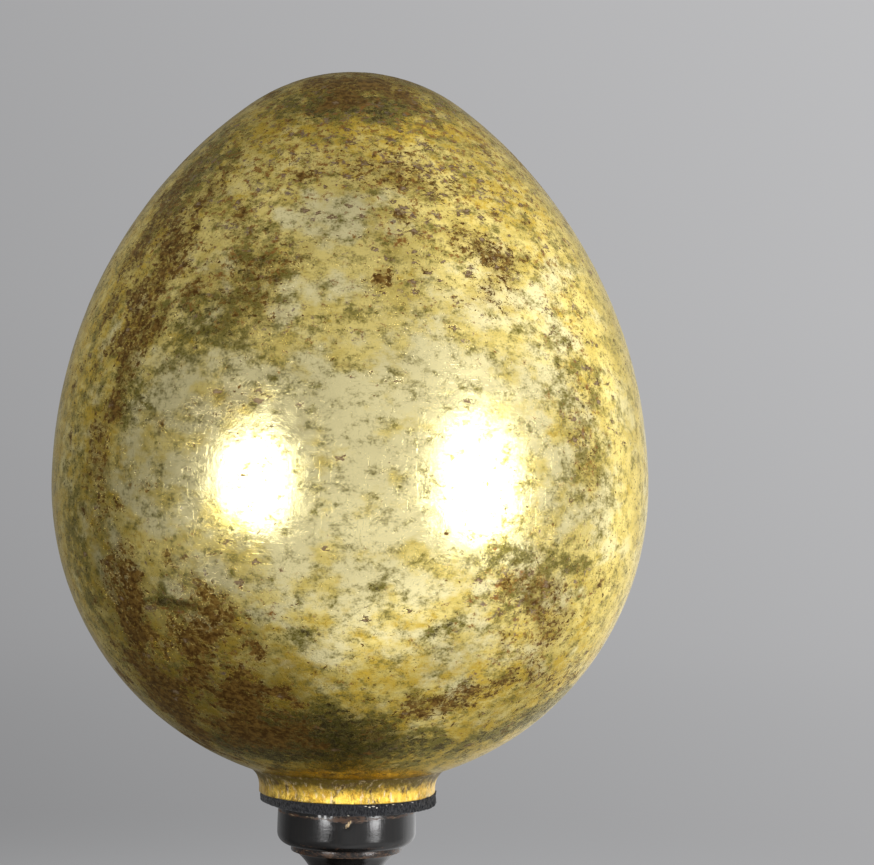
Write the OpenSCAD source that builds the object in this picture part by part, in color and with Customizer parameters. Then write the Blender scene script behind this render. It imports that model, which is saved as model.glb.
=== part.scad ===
// A large gilded egg finial, standing on a turned and ebonised display stand.
// Millimetres, +Z up, origin at the centre of the stand's underside.

/* [Egg] */
// Greatest radius of the egg, at its waist
egg_r = 130; // [105:1:160]
// Height of the crown above the waist
crown_h = 181.5; // [150:0.5:220]
// Radius of the blunt point of the crown
tip_r = 78.7; // [60:0.1:95]
// Thickness of the turned shell
shell_wall = 16; // [12:0.5:20]
// Number of dowels across the joint at the waist
dowel_count = 4; // [3:1:8]
// Radius of a dowel
dowel_r = 3; // [2:0.1:4]
// Length of a dowel
dowel_l = 24; // [16:1:36]

/* [Neck] */
// Radius of the neck at its foot
neck_r = 38.7; // [30:0.1:50]
// Height of the neck collar
neck_h = 11.2; // [11:0.1:20]
// How far the cove spreads the neck before it meets the egg
cove_spread = 4.8; // [3:0.1:6]
// Height of the cove at the top of the neck
cove_h = 8.7; // [6:0.1:10.5]
// Thickness of the felt washer under the neck
washer_t = 5.2; // [2:0.1:6]
// How far the felt washer's edge stands in from the neck
washer_inset = 0.6; // [0:0.1:3]

/* [Socket] */
// Thickness of wood between the neck and the socket block's flange
floor_t = 14; // [10:0.5:20]
// Radius of the socket block's flange
flange_r = 45; // [38:0.5:56]
// Thickness of that flange
flange_t = 12; // [8:0.5:16]
// Radius of the spigot that passes through the floor and the neck
spigot_r = 20; // [14:0.5:25]
// Radius of the boss inside the egg
boss_r = 24; // [16:0.5:30]
// Wood left above the blind end of the bore
boss_end = 6; // [4:0.5:12]

/* [Rod and sleeve] */
// Radius of the threaded rod, a plain M10
rod_r = 5; // [4:0.1:6]
// Outer radius of the brass sleeve on the rod
sleeve_r = 8; // [7.2:0.1:10]
// How far the sleeve stands above the stand
sleeve_reach = 84; // [50:1:110]
// How far the rod stands out of the sleeve
rod_proud = 2; // [0:0.5:4]
// Width of a nut across its flats
nut_af = 16; // [15:0.1:20]
// Thickness of a nut
nut_t = 5; // [4:0.1:6]
// Outer radius of a steel washer
plain_washer_r = 10.5; // [10:0.1:14]
// Thickness of a steel washer
plain_washer_t = 1.6; // [1:0.1:2.5]

/* [Stand] */
// Height of the stand's top face
stand_h = 200; // [165:1:260]
// Radius of the cap
cap_r = 30.4; // [26:0.1:38]
// Height of the cap
cap_h = 17.3; // [12.5:0.1:20]
// Rounding of the cap's lower edge
cap_round = 5; // [3:0.1:8]
// Radius of the fillet under the cap
fillet_r = 24.3; // [23:0.1:30]
// Height of that fillet
fillet_h = 3; // [1:0.1:4]
// Radius of the hollow where it meets the fillet
hollow_r = 22.8; // [18:0.1:23]
// Radius of the sweep of that hollow
hollow_sweep = 26; // [16:0.5:30]
// Radius of the column's throat, its thinnest place
throat_r = 12.5; // [10:0.1:15]
// Radius of the vase's belly
belly_r = 24; // [19:0.5:32]
// Radius of the ring above the vase
upper_ring_r = 16.5; // [14:0.1:20]
// Radius of the ring below the vase
lower_ring_r = 20; // [16:0.1:25]
// Radius of the bead at the column's foot
foot_bead_r = 29; // [24:0.5:33]

/* [Base] */
// Greatest radius of the base
base_r = 80; // [66:1:110]
// Height of the base above its underside
base_h = 38.5; // [32:0.5:50]
// Thickness of the baize underneath
baize_t = 1.5; // [1:0.1:3]
// How far the baize's edge stands in from the base
baize_inset = 3; // [1:0.5:8]
// Outer radius of the ballast plate
plate_r = 60; // [50:0.5:70]
// Inner radius of the ballast plate
plate_bore_r = 16; // [14:0.5:25]
// Thickness of the ballast plate
plate_t = 6; // [4:0.5:8]
// Radius of the circle of ballast screws
screw_circle_r = 45; // [30:0.5:48]
// Number of ballast screws
screw_count = 3; // [3:1:6]
// Radius of a ballast screw's shank
screw_r = 2; // [1.5:0.1:2.5]
// Radius of its countersunk head
screw_head_r = 4; // [3:0.1:5]
// Length of a ballast screw
screw_l = 16; // [12:0.5:18]

/* [Fits] */
// Radial clearance of a running fit
run_clear = 0.05; // [0.02:0.01:0.1]
// Radial clearance of a glued or threaded joint
glue_clear = 0.1; // [0.05:0.05:0.2]
// Radial clearance of a loose hole
loose_clear = 0.5; // [0.3:0.1:1]
// How far a sunk nut, plate or spigot stops short
end_clear = 0.4; // [0.2:0.1:1]

/* [Hidden] */
turn_fn = 144;
hole_fn = 64;
overcut = 1;

// Heights, from the ground up
base_z = baize_t;
column_z = base_z + base_h;
cap_z = stand_h - cap_h;
neck_z = stand_h + washer_t;
egg_z = neck_z + neck_h;
neck_top_r = neck_r + cove_spread;
waist_z = egg_z + sqrt(pow(egg_r, 2) - pow(neck_top_r, 2));

// The side of the crown is one long arc that runs smoothly into the round tip
tip_centre_h = crown_h - tip_r;
side_r = (pow(egg_r, 2) + pow(tip_centre_h, 2) - pow(tip_r, 2)) / (2 * (egg_r - tip_r));
meet_angle = atan2(tip_centre_h, side_r - egg_r);

// Socket block and the seat turned for it in the lower shell
seat_z = egg_z + floor_t;
sleeve_top_z = stand_h + sleeve_reach;
rod_top_z = sleeve_top_z + rod_proud;
bore_end_z = rod_top_z + end_clear;

// Nut and washer sunk in the cap
counterbore_depth = plain_washer_t + nut_t + end_clear;
head_washer_z = stand_h - counterbore_depth;
head_nut_z = head_washer_z + plain_washer_t;
sleeve_z = head_nut_z + nut_t;
cap_tenon_l = (cap_h - counterbore_depth) / 2;
cap_tenon_r = plain_washer_r + 3;

// Nut, washer and ballast sunk in the base
plate_z = base_z + 2 * end_clear;
plate_top_z = plate_z + plate_t;
base_washer_z = plate_top_z + nut_t;
base_nut_z = base_washer_z - nut_t;
pocket_top_z = base_washer_z + plain_washer_t;
rod_z = base_nut_z - 2 * end_clear;
base_tenon_l = 14;
base_tenon_r = 15;
wood_bore_r = rod_r + loose_clear;
steel_bore_r = rod_r + glue_clear;

// Arris taken off the cap's top edge
cap_arris = 1;

// Mouldings of the column, from its foot to its head
neck_in_r = throat_r + 1;
foot_bead_h = 8;
foot_cove_h = 14;
lower_ring_h = 7;
upper_ring_h = 5;
throat_h = 10;
hollow_h = sqrt(pow(hollow_sweep, 2) - pow(hollow_sweep - (hollow_r - throat_r), 2));
vase_z = column_z + foot_bead_h + foot_cove_h + lower_ring_h;
vase_top_z = cap_z - fillet_h - hollow_h - throat_h - upper_ring_h;
belly_share = 0.36;
belly_z = vase_z + (vase_top_z - vase_z) * belly_share;

// Mouldings of the base
rim_h = 12;
rim_set_in = 8;
step_h = 2.5;
top_step_h = 3;
base_top_r = foot_bead_r + 4;

// Points of an arc from angle a0 to angle a1
function arc(centre, radius, a0, a1, steps = 12) =
    [for (i = [0:steps]) let (a = a0 + (a1 - a0) * i / steps) centre + radius * [cos(a), sin(a)]];

// A half-round bead that reaches radius r, from height z to z + h
function bead(r, z, h) = arc([r - h / 2, z + h / 2], h / 2, -90, 90);

// Points of a cubic curve
function curve(p, steps = 12) = [for (i = [0:steps]) let (t = i / steps, s = 1 - t)
    s * s * s * p[0] + 3 * s * s * t * p[1] + 3 * s * t * t * p[2] + t * t * t * p[3]];

// A profile of radius and height, turned about the vertical axis
module turned(profile) {
    rotate_extrude($fn = turn_fn) polygon(profile);
}

// A round bore or rod along the vertical axis, between two heights
module round_bar(r, z0, z1) {
    translate([0, 0, z0]) cylinder(r = r, h = z1 - z0, $fn = hole_fn);
}

// Copies spaced evenly on a circle
module around(count, radius) {
    for (i = [0:count - 1]) rotate([0, 0, i * 360 / count]) translate([radius, 0, 0]) children();
}

// Half outline of the crown, set in from the surface by inset, above the waist
module crown_profile(inset) {
    meet_h = tip_centre_h + (tip_r - inset) * sin(meet_angle);
    intersection() {
        translate([egg_r - side_r, 0]) circle(r = side_r - inset, $fn = 2 * turn_fn);
        square([egg_r + overcut, meet_h]);
    }
    intersection() {
        translate([0, tip_centre_h]) circle(r = tip_r - inset, $fn = turn_fn);
        translate([0, meet_h]) square([egg_r, crown_h]);
    }
}

// The four dowels across the waist, or the holes drilled for them
module dowels(clearance, length) {
    around(dowel_count, egg_r - shell_wall / 2)
        round_bar(dowel_r + clearance, waist_z - length / 2, waist_z + length / 2);
}

module upper_shell() {
    color("goldenrod") difference() {
        translate([0, 0, waist_z]) rotate_extrude($fn = turn_fn) difference() {
            crown_profile(0);
            crown_profile(shell_wall);
        }
        dowels(glue_clear, dowel_l + 2 * end_clear);
    }
}

module lower_shell() {
    color("darkgoldenrod") difference() {
        intersection() {
            translate([0, 0, waist_z]) sphere(r = egg_r, $fn = turn_fn);
            round_bar(egg_r + overcut, egg_z, waist_z);
        }
        intersection() {
            translate([0, 0, waist_z]) sphere(r = egg_r - shell_wall, $fn = turn_fn);
            round_bar(egg_r + overcut, seat_z, waist_z + overcut);
        }
        round_bar(flange_r + end_clear, seat_z, seat_z + flange_t);
        round_bar(spigot_r + glue_clear, egg_z - overcut, seat_z + overcut);
        dowels(glue_clear, dowel_l + 2 * end_clear);
    }
}

module joint_dowels() {
    color("burlywood") dowels(0, dowel_l);
}

module neck_collar() {
    cove_z = egg_z - cove_h;
    cove_r = (pow(cove_h, 2) + pow(cove_spread, 2)) / (2 * cove_spread);
    profile = concat(
        [[0, neck_z]],
        arc([neck_r + cove_r, cove_z], cove_r, 180, 180 - asin(cove_h / cove_r)),
        [[0, egg_z]]
    );
    color("gold") difference() {
        turned(concat([[0, neck_z], [neck_r, neck_z]], [for (i = [1:len(profile) - 1]) profile[i]]));
        round_bar(spigot_r + glue_clear, neck_z - overcut, egg_z + overcut);
    }
}

module socket_block() {
    color("tan") difference() {
        union() {
            round_bar(spigot_r, neck_z, seat_z);
            round_bar(flange_r, seat_z, seat_z + flange_t);
            round_bar(boss_r, seat_z, bore_end_z + boss_end);
        }
        round_bar(sleeve_r + run_clear, neck_z - overcut, bore_end_z);
    }
}

module felt_washer() {
    color("dimgray") difference() {
        round_bar(neck_r - washer_inset, stand_h, neck_z);
        round_bar(sleeve_r + 3 * loose_clear, stand_h - overcut, neck_z + overcut);
    }
}

module rod_sleeve() {
    color("peru") difference() {
        round_bar(sleeve_r, sleeve_z, sleeve_top_z);
        round_bar(rod_r + run_clear, sleeve_z - overcut, sleeve_top_z + overcut);
    }
}

module stand_cap() {
    profile = concat(
        [[0, cap_z]],
        arc([cap_r - cap_round, cap_z + cap_round], cap_round, -90, 0, 8),
        [[cap_r, stand_h - cap_arris], [cap_r - cap_arris, stand_h], [0, stand_h]]
    );
    color("darkslategray") difference() {
        turned(profile);
        round_bar(wood_bore_r, cap_z - overcut, stand_h + overcut);
        round_bar(plain_washer_r + loose_clear, head_washer_z, stand_h + overcut);
        round_bar(cap_tenon_r + glue_clear, cap_z - overcut, cap_z + cap_tenon_l);
    }
}

module column() {
    fillet_z = cap_z - fillet_h;
    throat_z = fillet_z - hollow_h;
    hollow_angle = asin(hollow_h / hollow_sweep);
    lower_ring_z = vase_z - lower_ring_h;
    profile = concat(
        [[0, column_z]],
        bead(foot_bead_r, column_z, foot_bead_h),
        curve([
            [foot_bead_r - foot_bead_h / 2 - 1, column_z + foot_bead_h],
            [neck_in_r + 3, column_z + foot_bead_h + 1],
            [neck_in_r, column_z + foot_bead_h + 6],
            [neck_in_r, lower_ring_z]
        ]),
        bead(lower_ring_r, lower_ring_z, lower_ring_h),
        curve([
            [neck_in_r, vase_z],
            [belly_r - 4, vase_z + 3],
            [belly_r, belly_z - 16],
            [belly_r, belly_z]
        ]),
        curve([
            [belly_r, belly_z],
            [belly_r, belly_z + 20],
            [throat_r, vase_top_z - 26],
            [throat_r, vase_top_z]
        ]),
        bead(upper_ring_r, vase_top_z, upper_ring_h),
        [[throat_r, vase_top_z + upper_ring_h]],
        arc([throat_r + hollow_sweep, throat_z], hollow_sweep, 180, 180 - hollow_angle),
        [[fillet_r, fillet_z], [fillet_r, cap_z], [0, cap_z]]
    );
    color("#262220") difference() {
        union() {
            turned(profile);
            round_bar(base_tenon_r, column_z - base_tenon_l, column_z + overcut);
            round_bar(cap_tenon_r, cap_z - overcut, cap_z + cap_tenon_l - end_clear);
        }
        round_bar(wood_bore_r, column_z - base_tenon_l - overcut, cap_z + cap_tenon_l + overcut);
    }
}

module base() {
    rim_z = base_z + rim_h;
    ogee_z = rim_z + step_h;
    ogee_top_z = column_z - top_step_h;
    profile = concat(
        [[0, base_z]],
        bead(base_r, base_z, rim_h),
        [[base_r - rim_set_in, rim_z], [base_r - rim_set_in, ogee_z]],
        curve([
            [base_r - rim_set_in - 2, ogee_z],
            [base_r - rim_set_in - 4, ogee_top_z],
            [base_top_r + 14, ogee_z + 6],
            [base_top_r + 1, ogee_top_z]
        ]),
        [[base_top_r, ogee_top_z], [base_top_r, column_z], [0, column_z]]
    );
    color("#1d1a18") difference() {
        turned(profile);
        round_bar(wood_bore_r, base_z, column_z + overcut);
        round_bar(base_tenon_r + glue_clear, column_z - base_tenon_l - end_clear, column_z + overcut);
        round_bar(plate_r + end_clear, base_z - overcut, plate_top_z);
        round_bar(plain_washer_r + loose_clear, base_z, pocket_top_z);
        around(screw_count, screw_circle_r)
            round_bar(screw_r + glue_clear, base_z, plate_z + screw_l + end_clear);
    }
}

module mounting_rod() {
    color("silver") round_bar(rod_r, rod_z, rod_top_z);
}

// A flat steel washer, standing on height z
module plain_washer(z) {
    color("lightgray") difference() {
        round_bar(plain_washer_r, z, z + plain_washer_t);
        round_bar(rod_r + glue_clear, z - overcut, z + plain_washer_t + overcut);
    }
}

// A thin hexagon nut, standing on height z
module thin_nut(z) {
    color("gainsboro") difference() {
        translate([0, 0, z]) cylinder(r = nut_af / sqrt(3), h = nut_t, $fn = 6);
        round_bar(steel_bore_r, z - overcut, z + nut_t + overcut);
    }
}

module head_washer() { plain_washer(head_washer_z); }
module head_nut() { thin_nut(head_nut_z); }
module base_washer() { plain_washer(base_washer_z); }
module base_nut() { thin_nut(base_nut_z); }

// A countersunk screw pointing up, its head widened by clearance
module countersunk(clearance, length) {
    head_h = screw_head_r - screw_r;
    translate([0, 0, plate_z]) union() {
        cylinder(r1 = screw_head_r + clearance, r2 = screw_r + clearance, h = head_h, $fn = hole_fn);
        cylinder(r = screw_r + clearance, h = length, $fn = hole_fn);
    }
}

module ballast_plate() {
    color("slategray") difference() {
        round_bar(plate_r, plate_z, plate_top_z);
        round_bar(plate_bore_r, plate_z - overcut, plate_top_z + overcut);
        around(screw_count, screw_circle_r) countersunk(glue_clear, screw_l);
    }
}

module ballast_screws() {
    color("lightsteelblue") around(screw_count, screw_circle_r) countersunk(0, screw_l);
}

module baize_disc() {
    color("darkgreen") round_bar(base_r - baize_inset, 0, baize_t);
}

upper_shell();
lower_shell();
joint_dowels();
neck_collar();
socket_block();
felt_washer();
rod_sleeve();
stand_cap();
column();
base();
mounting_rod();
head_washer();
head_nut();
base_washer();
base_nut();
ballast_plate();
ballast_screws();
baize_disc();
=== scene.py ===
"""A large gilded egg finial on an ebonised display stand: its looks, built round the CAD frame.

The egg is turned wood under gesso, yellow and red-brown bole and gold leaf, burnished bright and then
rubbed through by years of handling. Lengths are in metres; sizes a maker would quote are in millimetres.
"""

import math

import bpy
import numpy as np
from mathutils import Matrix, Vector, noise


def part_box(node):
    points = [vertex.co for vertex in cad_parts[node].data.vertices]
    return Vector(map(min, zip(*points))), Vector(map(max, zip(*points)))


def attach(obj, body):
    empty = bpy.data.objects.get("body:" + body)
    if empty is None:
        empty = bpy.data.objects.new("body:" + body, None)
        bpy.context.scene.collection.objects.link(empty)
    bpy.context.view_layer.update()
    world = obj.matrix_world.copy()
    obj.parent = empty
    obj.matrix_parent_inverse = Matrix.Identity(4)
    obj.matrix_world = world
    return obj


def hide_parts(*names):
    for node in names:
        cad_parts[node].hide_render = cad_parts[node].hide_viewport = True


MM = 0.001

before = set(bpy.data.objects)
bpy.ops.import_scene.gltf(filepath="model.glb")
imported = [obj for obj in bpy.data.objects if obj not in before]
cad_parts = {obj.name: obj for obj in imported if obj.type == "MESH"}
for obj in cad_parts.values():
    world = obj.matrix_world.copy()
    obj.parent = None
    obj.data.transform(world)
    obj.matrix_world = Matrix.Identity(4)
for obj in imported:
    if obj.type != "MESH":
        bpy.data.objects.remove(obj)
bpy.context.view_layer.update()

# --------------------------------------------
# Sizes read from the frame, and the egg's own curve
# --------------------------------------------

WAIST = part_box("upper_shell")[0].z
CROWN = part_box("upper_shell")[1].z
EGG_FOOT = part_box("lower_shell")[0].z
NECK_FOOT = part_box("neck_collar")[0].z
FELT_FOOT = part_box("felt_washer")[0].z
STAND_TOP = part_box("stand_cap")[1].z
CAP_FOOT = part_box("stand_cap")[0].z
SEAT = EGG_FOOT + 14 * MM
BLOCK_HOLE_R = 20.1 * MM
NECK_R = 38.7 * MM
CAP_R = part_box("stand_cap")[1].x
FELT_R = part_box("felt_washer")[1].x
EGG_R = 130 * MM
TIP_R = 78.7 * MM
SHELL_WALL = 16 * MM
NECK_TOP_R = math.sqrt(EGG_R**2 - (WAIST - EGG_FOOT) ** 2)

# The side of the crown is one long arc that runs smoothly into the round tip
TIP_CENTRE = CROWN - WAIST - TIP_R
SIDE_R = (EGG_R**2 + TIP_CENTRE**2 - TIP_R**2) / (2 * (EGG_R - TIP_R))
MEET_ANGLE = math.atan2(TIP_CENTRE, SIDE_R - EGG_R)
SIDE_LENGTH = SIDE_R * MEET_ANGLE
TIP_LENGTH = TIP_R * (math.pi / 2 - MEET_ANGLE)
LOWER_ANGLE = math.asin((WAIST - EGG_FOOT) / EGG_R)

# The turned egg leans a little off its axis, to the left as it goes up
LEAN = -0.005


# --------------------------------------------
# Modelling by hand, in short steps
# --------------------------------------------


def deselect():
    """Leaves edit mode and clears the selection."""
    if bpy.context.object and bpy.context.object.mode != "OBJECT":
        bpy.ops.object.mode_set(mode="OBJECT")
    bpy.ops.object.select_all(action="DESELECT")


def take_up(piece, mode="OBJECT"):
    """Makes a piece the only selected one, ready to work on."""
    deselect()
    piece.select_set(True)
    bpy.context.view_layer.objects.active = piece
    bpy.ops.object.mode_set(mode=mode)


def pick(piece, rule):
    """Selects the vertices whose place passes the rule, and stays in edit mode."""
    take_up(piece, "EDIT")
    bpy.ops.mesh.select_mode(type="VERT")
    bpy.ops.mesh.select_all(action="DESELECT")
    bpy.ops.object.mode_set(mode="OBJECT")
    chosen = rule(points(piece))
    piece.data.vertices.foreach_set("select", chosen)
    bpy.ops.object.mode_set(mode="EDIT")


def points(piece):
    """The piece's vertices as an array."""
    flat = np.empty(len(piece.data.vertices) * 3)
    piece.data.vertices.foreach_get("co", flat)
    return flat.reshape(-1, 3)


def put_points(piece, places):
    """Moves the piece's vertices to those places."""
    piece.data.vertices.foreach_set("co", places.reshape(-1))
    piece.data.update()


def apply_modifiers(piece):
    """Applies every modifier on a piece, in order."""
    take_up(piece)
    for modifier in list(piece.modifiers):
        bpy.ops.object.modifier_apply(modifier=modifier.name)


def face_out(piece):
    """Turns every face outwards."""
    take_up(piece, "EDIT")
    bpy.ops.mesh.select_all(action="SELECT")
    bpy.ops.mesh.normals_make_consistent(inside=False)
    bpy.ops.object.mode_set(mode="OBJECT")


def draw_out(outline):
    """In edit mode: extrudes the selected ring through an outline of radius and height."""
    for (r0, z0), (r1, z1) in zip(outline, outline[1:]):
        bpy.ops.mesh.extrude_region_move(TRANSFORM_OT_translate={"value": (0, 0, z1 - z0)})
        bpy.ops.transform.resize(value=(r1 / r0, r1 / r0, 1), center_override=(0, 0, z1))


def arc(centre, radius, start, end, steps=10):
    """Points of radius and height along an arc, between two angles in degrees."""
    turns = [math.radians(start + (end - start) * i / steps) for i in range(steps + 1)]
    return [(centre[0] + radius * math.cos(t), centre[1] + radius * math.sin(t)) for t in turns]


def turn(name, outline, segments=160, smooth_angle=35):
    """Turns a closed outline of radius and height about the vertical axis, as a lathe does."""
    deselect()
    radius, height = outline[0]
    bpy.ops.mesh.primitive_circle_add(vertices=segments, radius=radius, location=(0, 0, height))
    piece = bpy.context.object
    piece.name = piece.data.name = name
    bpy.ops.object.transform_apply(location=True, rotation=False, scale=False)
    bpy.ops.object.mode_set(mode="EDIT")
    bpy.ops.mesh.select_all(action="SELECT")
    draw_out(outline + outline[:1])
    bpy.ops.mesh.select_all(action="SELECT")
    bpy.ops.mesh.remove_doubles(threshold=1e-6)
    face_out(piece)
    bpy.ops.object.shade_smooth_by_angle(angle=math.radians(smooth_angle))
    return piece


# --------------------------------------------
# What time has done to the egg
# --------------------------------------------

# A patch is (bearing, height above the waist, half width, half height, tilt, strength): the bearing is in
# degrees round the egg, 0 at the front and growing to the right, and the rest in millimetres and degrees.

# The leaf is rubbed through to brown bole
RUBBED = [
    (-46, 72, 12, 46, -8, 0.75),
    (-58, 104, 9, 34, -10, 0.65),
    (-51, 8, 8, 20, 0, 0.7),
    (-21, 82, 20, 16, 15, 0.4),
    (31, 96, 15, 10, -30, 0.8),
    (28, 80, 14, 8, 10, 0.35),
    (12, 130, 22, 7, -5, 0.5),
    (0, 172, 30, 8, 0, 0.9),
    (-22, 36, 16, 8, 10, 0.45),
    (-24, -34, 8, 14, 10, 0.3),
    (-48, -50, 11, 22, -20, 1.0),
    (-51, -84, 16, 24, -25, 1.0),
    (-31, -58, 13, 17, -20, 0.9),
    (-26, -86, 12, 24, -15, 1.0),
    (-26, -101, 22, 10, 0, 0.9),
    (38, -36, 14, 14, 0, 0.35),
    (47, 20, 10, 32, 8, 0.3),
    (40, -45, 12, 26, 25, 0.6),
    (24, -84, 22, 6, 20, 0.8),
    (58, -76, 16, 8, 30, 0.4),
    (100, 70, 14, 40, 10, 0.7),
    (128, -40, 24, 18, -15, 0.8),
    (165, 40, 18, 36, 5, 0.6),
    (172, -85, 26, 10, 0, 0.9),
    (-165, 105, 24, 16, 12, 0.6),
    (-140, 10, 12, 40, -6, 0.8),
    (-118, -60, 22, 16, 18, 0.9),
    (-95, 60, 10, 30, 4, 0.5),
    (85, 130, 20, 10, -15, 0.6),
    (-100, 140, 24, 9, 10, 0.6),
]

# Old size and dirt lie dark and olive over the leaf
GRIMY = [
    (-29, 66, 24, 14, -10, 0.5),
    (-20, 88, 16, 14, 0, 0.5),
    (-45, 36, 10, 16, 0, 0.5),
    (0, 160, 40, 8, 0, 0.8),
    (-55, 128, 14, 20, -20, 0.6),
    (-12, -97, 34, 9, 6, 0.8),
    (-26, -105, 26, 9, 0, 1.0),
    (35, -32, 18, 15, 0, 0.5),
    (5, -104, 40, 8, 0, 0.7),
    (18, -53, 10, 3, 25, 0.6),
    (5, -35, 4, 3, 40, 0.8),
    (-8, -55, 7, 2.5, 0, 0.6),
    (-36, -45, 16, 3, 0, 0.9),
    (46, 34, 14, 42, 8, 0.35),
    (60, -95, 34, 9, 22, 0.7),
    (-62, -20, 10, 60, 0, 0.4),
    (150, -10, 26, 40, 10, 0.5),
    (-150, -95, 40, 12, 0, 0.8),
    (110, -100, 40, 12, 0, 0.8),
    (-110, 100, 20, 24, 0, 0.5),
]

# Blisters and pinholes in the gesso crowd together
PITTED = [
    (14, 124, 42, 26, 0, 1.0),
    (-29, 113, 8, 6, 0, 0.8),
    (20, 95, 26, 20, 0, 0.6),
    (-20, 40, 18, 14, 0, 0.4),
    (-16, -38, 18, 16, 0, 0.5),
    (50, 80, 16, 50, 0, 0.5),
    (120, 110, 50, 30, 0, 0.7),
    (-150, 60, 30, 30, 0, 0.6),
    (170, -40, 30, 30, 0, 0.5),
]

# The yellow bole glows through thin leaf
YELLOW = [
    (20, 152, 50, 9, 0, 1.0),
    (-20, 150, 40, 8, 0, 0.7),
    (45, 125, 26, 26, 0, 0.6),
    (45, 60, 22, 50, 0, 0.35),
    (0, -112, 300, 14, 0, 1.0),
    (20, -70, 34, 14, 0, 0.5),
    (-50, 60, 10, 34, 0, 0.4),
    (-16, -76, 10, 16, 0, 0.5),
    (180, 150, 60, 10, 0, 0.8),
    (120, -60, 30, 20, 0, 0.4),
    (0, -95, 420, 44, 0, 0.7),
    (-64, 20, 44, 110, 0, 0.7),
    (0, 158, 420, 30, 0, 0.6),
]

# Hands have worn the belly's leaf smooth, with fewer specks; its pale gold is a painted sheen round the
# highlights
POLISH_AND_SHEEN = [
    (3, 10, 104, 56, 0, 1.0),
    (0, 10, 420, 40, 0, 0.3),
    (34, 60, 44, 40, 0, 0.6),
    (14, -58, 60, 22, 0, 0.5),
    (-5, 108, 16, 14, 0, 0.9),
]

# Fine brown and mauve freckles of bole and gesso crowd towards the crown and the right
FRECKLED = [
    (10, 132, 90, 46, 0, 1.0),
    (46, 56, 24, 76, 0, 0.9),
    (-30, 105, 46, 42, 0, 0.9),
    (0, 66, 64, 22, 0, 0.6),
    (34, -44, 40, 30, 0, 0.9),
    (-36, -60, 46, 44, 0, 0.9),
    (-24, -36, 30, 30, 0, 0.5),
    (0, 140, 420, 40, 0, 0.7),
    (112, 20, 60, 80, 0, 0.7),
    (-120, 30, 64, 70, 0, 0.7),
    (178, -50, 100, 44, 0, 0.6),
]

# Each painted zone of the egg: its patches, how raggedly their edges wander, and the seed of the wander
ZONES = {
    "rubbed": (RUBBED, 0.95, 3),
    "grimy": (GRIMY, 0.6, 7),
    "pitted": (PITTED, 0.4, 5),
    "yellow": (YELLOW, 0.6, 9),
    "polish_and_sheen": (POLISH_AND_SHEEN, 0.5, 11),
    "freckled": (FRECKLED, 0.6, 13),
}


def bearings(places):
    """Bearing of each place in degrees, 0 at the front and growing to the right."""
    return np.degrees(np.arctan2(places[:, 0], -places[:, 1]))


def turned_from(around, bearing):
    """Degrees from one bearing to others, the short way round."""
    return (around - bearing + 180) % 360 - 180


def cloud(places, grain, octaves=3, seed=0):
    """Smooth noise, about -1 to 1, whose largest features are one grain across."""
    offset = Vector((seed * 7.3, seed * 3.1, seed * 5.7))
    return np.array([noise.fractal(Vector(p) / grain + offset, 0.9, 2.0, octaves) for p in places])


def patches(places, spots, ragged, seed):
    """How strongly a list of patches covers each place, 0 to 1, with edges that wander by ragged."""
    around = bearings(places)
    radius = np.hypot(places[:, 0], places[:, 1]) / MM
    height = (places[:, 2] - WAIST) / MM
    wander = 1 + ragged * cloud(places, 14 * MM, 4, seed)
    cover = np.zeros(len(places))
    for at, up, wide, tall, tilt, strength in spots:
        u = np.radians(turned_from(around, at)) * radius
        v = height - up
        c, s = math.cos(math.radians(tilt)), math.sin(math.radians(tilt))
        far = np.hypot((u * c + v * s) / wide, (v * c - u * s) / tall) * wander
        cover = np.maximum(cover, strength * np.clip(1.5 - far, 0, 1))
    return cover


def paint(piece, name, amount):
    """Stores a painted amount on the piece's vertices, for its material to read."""
    layer = piece.data.attributes.new(name, "FLOAT", "POINT")
    layer.data.foreach_set("value", amount.astype(np.float32))


# --------------------------------------------
# The gilded egg, in its two turned halves
# --------------------------------------------


def egg_point(share):
    """Radius and height above the waist, at a share of the way to the crown or, below 0, to the neck."""
    if share < 0:
        return EGG_R * math.cos(LOWER_ANGLE * share), EGG_R * math.sin(LOWER_ANGLE * share)
    way = share * (SIDE_LENGTH + TIP_LENGTH)
    if way < SIDE_LENGTH:
        angle = way / SIDE_R
        return EGG_R - SIDE_R + SIDE_R * math.cos(angle), SIDE_R * math.sin(angle)
    angle = MEET_ANGLE + (way - SIDE_LENGTH) / TIP_R
    return TIP_R * math.cos(angle), TIP_CENTRE + TIP_R * math.sin(angle)


def relief(places):
    """How far the gesso stands off the true outline, in metres."""
    sanding = 0.22 * cloud(places, 70 * MM, 2, 1)
    brushing = 0.05 * cloud(places * np.array([1, 1, 3.0]), 24 * MM, 3, 2)
    worn = patches(places, *ZONES["rubbed"])
    losses = -0.10 * worn * (cloud(places, 5 * MM, 3, 4) > 0)
    hollows = np.clip(cloud(places, 7 * MM, 2, 6) - 0.3, 0, 0.4)
    blisters = -0.6 * patches(places, *ZONES["pitted"]) * hollows
    return (sanding + brushing + losses + blisters) * MM


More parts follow.
